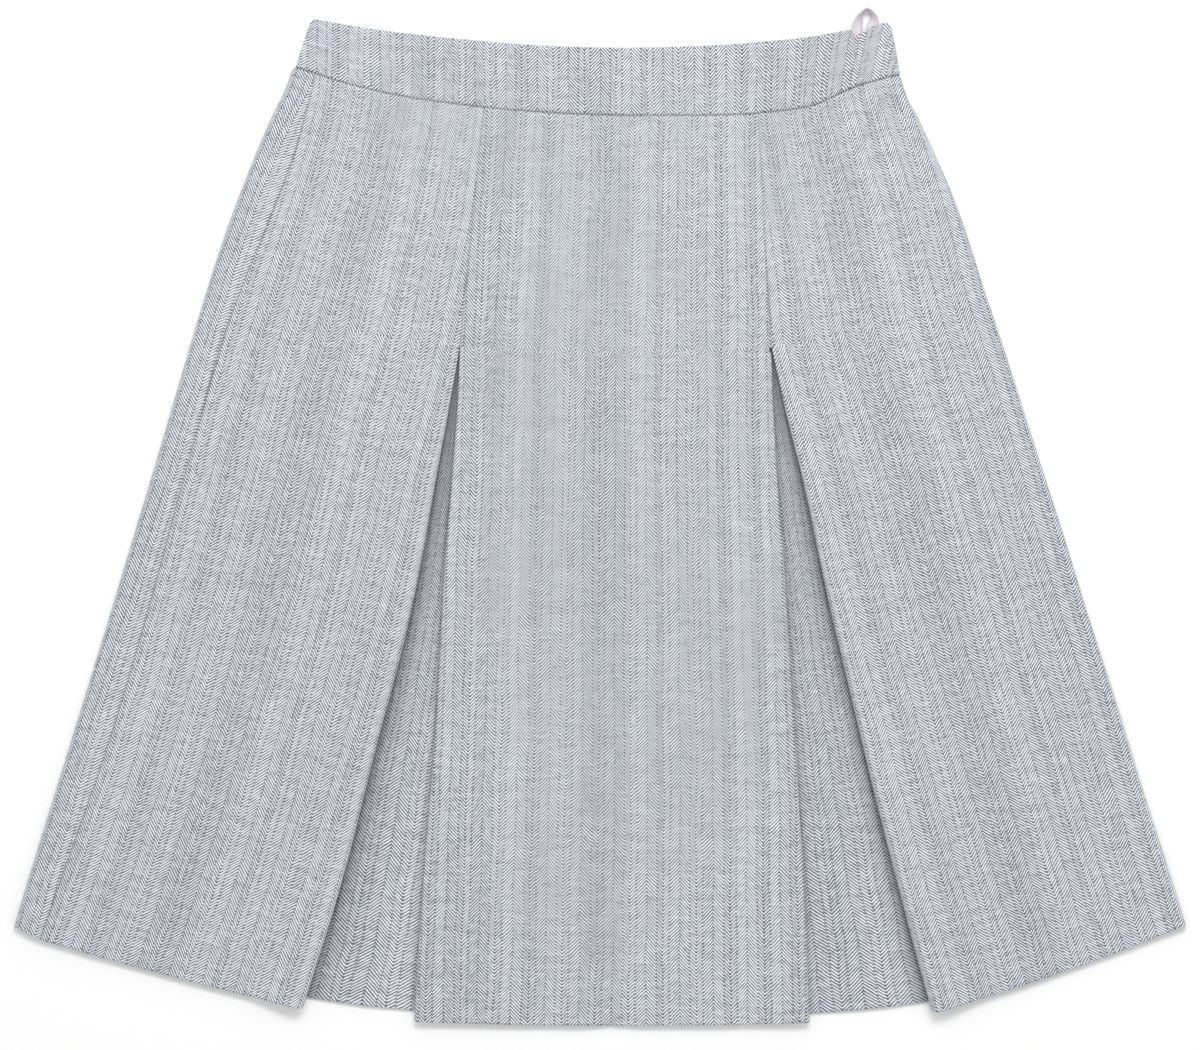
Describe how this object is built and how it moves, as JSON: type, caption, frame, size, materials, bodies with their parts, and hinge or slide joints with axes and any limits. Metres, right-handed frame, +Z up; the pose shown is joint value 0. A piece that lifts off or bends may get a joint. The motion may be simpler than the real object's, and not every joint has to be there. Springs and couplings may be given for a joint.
{
  "type": "pleated skirt",
  "caption": "Knee-length A-line skirt laid flat, with a contoured waistband, box pleats opening from stitched front seams, underlays and a ribbon hanger loop.",
  "frame": {"origin": "centre of the laid-out skirt's plan, on the surface it lies on", "axes": "+X to the right across the skirt as it lies, +Y up to the waist, +Z up off the surface, out of the front of the skirt"},
  "size_m": [0.7323, 0.6357, 0.0067],
  "materials": {
    "herringbone_cloth": "soft wool-blend herringbone, pale blue-grey, slight nap",
    "satin_ribbon": "satin ribbon, pale mauve-grey"
  },
  "bodies": {
    "root": {"waistband_front": "herringbone_cloth", "waistband_back": "herringbone_cloth", "front_centre_panel": "herringbone_cloth", "front_side_panel_left": "herringbone_cloth", "front_side_panel_right": "herringbone_cloth", "pleat_underlay_left": "herringbone_cloth", "pleat_underlay_right": "herringbone_cloth", "back_panel": "herringbone_cloth", "hanger_loop": "satin_ribbon"}
  },
  "joints": []
}
